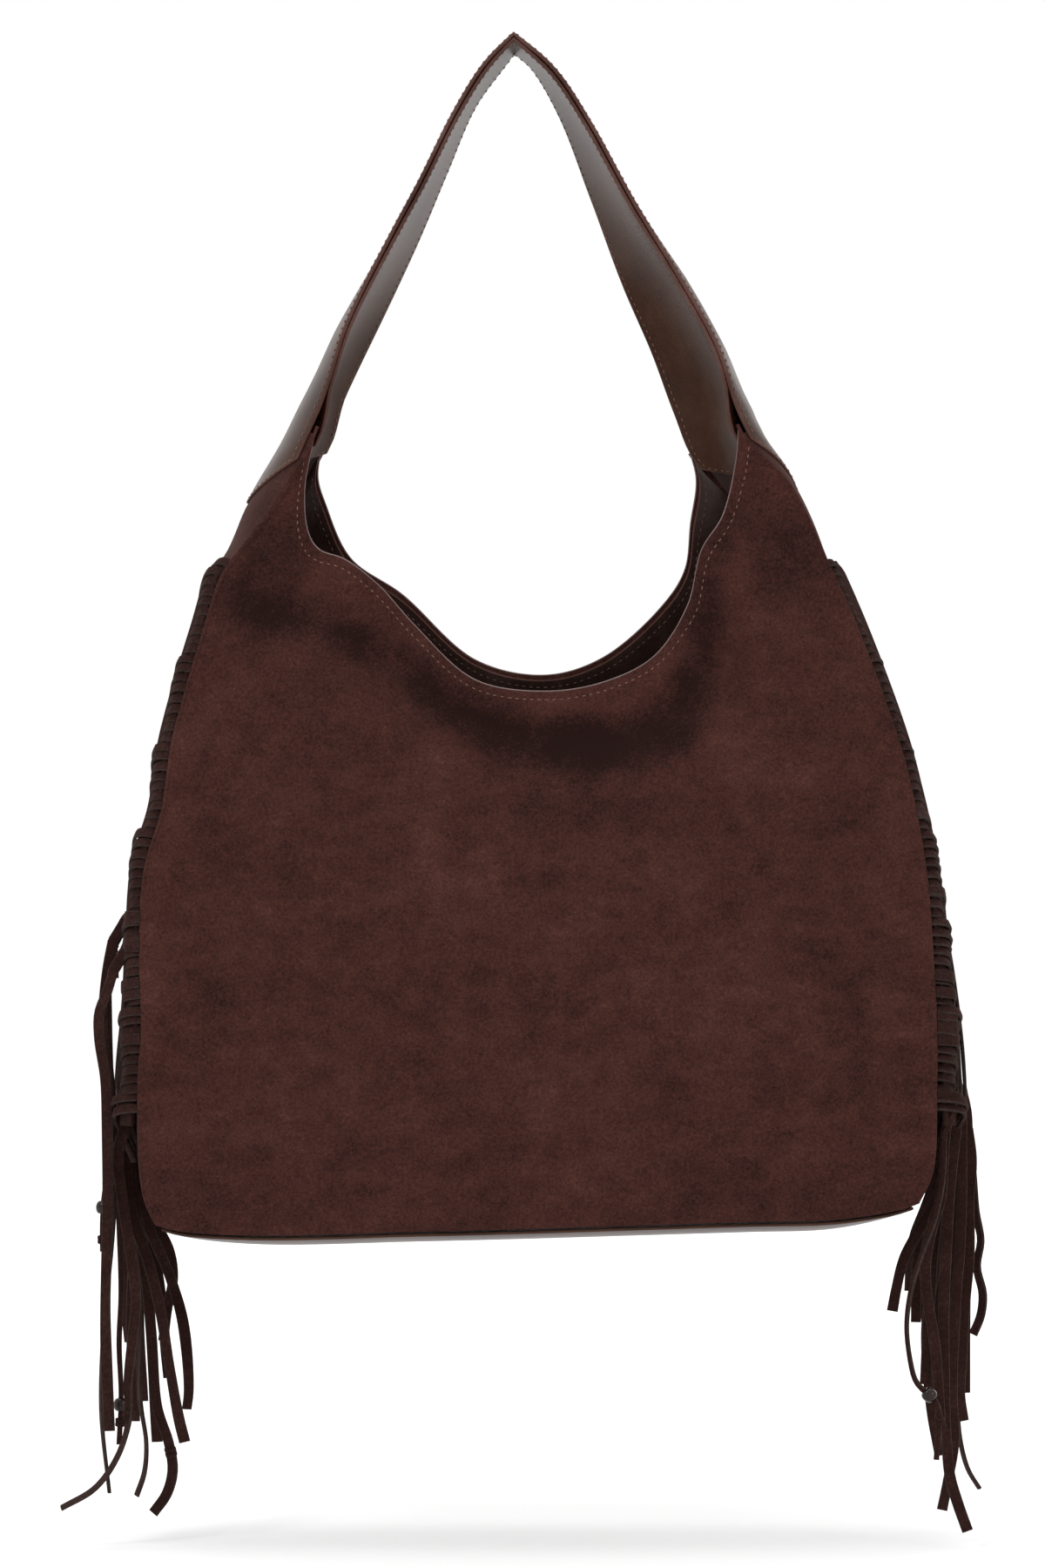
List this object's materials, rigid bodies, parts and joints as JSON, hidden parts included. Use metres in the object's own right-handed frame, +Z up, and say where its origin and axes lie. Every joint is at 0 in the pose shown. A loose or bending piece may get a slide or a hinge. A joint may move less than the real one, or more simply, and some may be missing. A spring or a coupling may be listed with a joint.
{
  "type": "fringed suede shoulder bag",
  "caption": "Slouchy imitation-suede hobo shoulder bag with a smooth leather-look strap, laced sides and long side fringes with small beads.",
  "frame": {"origin": "under the top of the strap, on the middle of its width, where a hook or a shoulder holds the bag", "axes": "+Z up, +X to the right of someone who faces the front, and the front faces -Y"},
  "size_m": [0.4762, 0.1418, 0.7655],
  "materials": {
    "suede": "napped imitation suede, dark chocolate",
    "smooth": "smooth satin imitation leather, dark brown",
    "lining": "plain dark woven lining",
    "fringe": "napped suede thong, darker than the panels",
    "bead": "glossy dark brown"
  },
  "bodies": {
    "root": {"front_panel": "suede", "back_panel": "suede", "left_gusset": "suede", "right_gusset": "suede", "base_panel": "smooth", "front_facing": "smooth", "back_facing": "smooth", "left_side_facing": "smooth", "right_side_facing": "smooth", "lining": "lining", "strap_outer": "smooth", "strap_inner": "smooth", "left_lacing": "fringe", "right_lacing": "fringe", "left_thong_01": "fringe", "left_thong_02": "fringe", "left_thong_03": "fringe", "left_thong_04": "fringe", "left_thong_05": "fringe", "left_thong_06": "fringe", "left_thong_07": "fringe", "left_thong_08": "fringe", "left_thong_09": "fringe", "left_thong_10": "fringe", "left_thong_11": "fringe", "left_thong_12": "fringe", "left_thong_13": "fringe", "right_thong_01": "fringe", "right_thong_02": "fringe", "right_thong_03": "fringe", "right_thong_04": "fringe", "right_thong_05": "fringe", "right_thong_06": "fringe", "right_thong_07": "fringe", "right_thong_08": "fringe", "right_thong_09": "fringe", "right_thong_10": "fringe", "right_thong_11": "fringe", "right_thong_12": "fringe", "right_thong_13": "fringe", "right_thong_14": "fringe", "right_thong_15": "fringe", "left_lace_1": "fringe", "left_lace_2": "fringe", "right_lace_1": "fringe", "left_bead_1": "bead", "left_bead_2": "bead", "right_bead_1": "bead"}
  },
  "joints": []
}
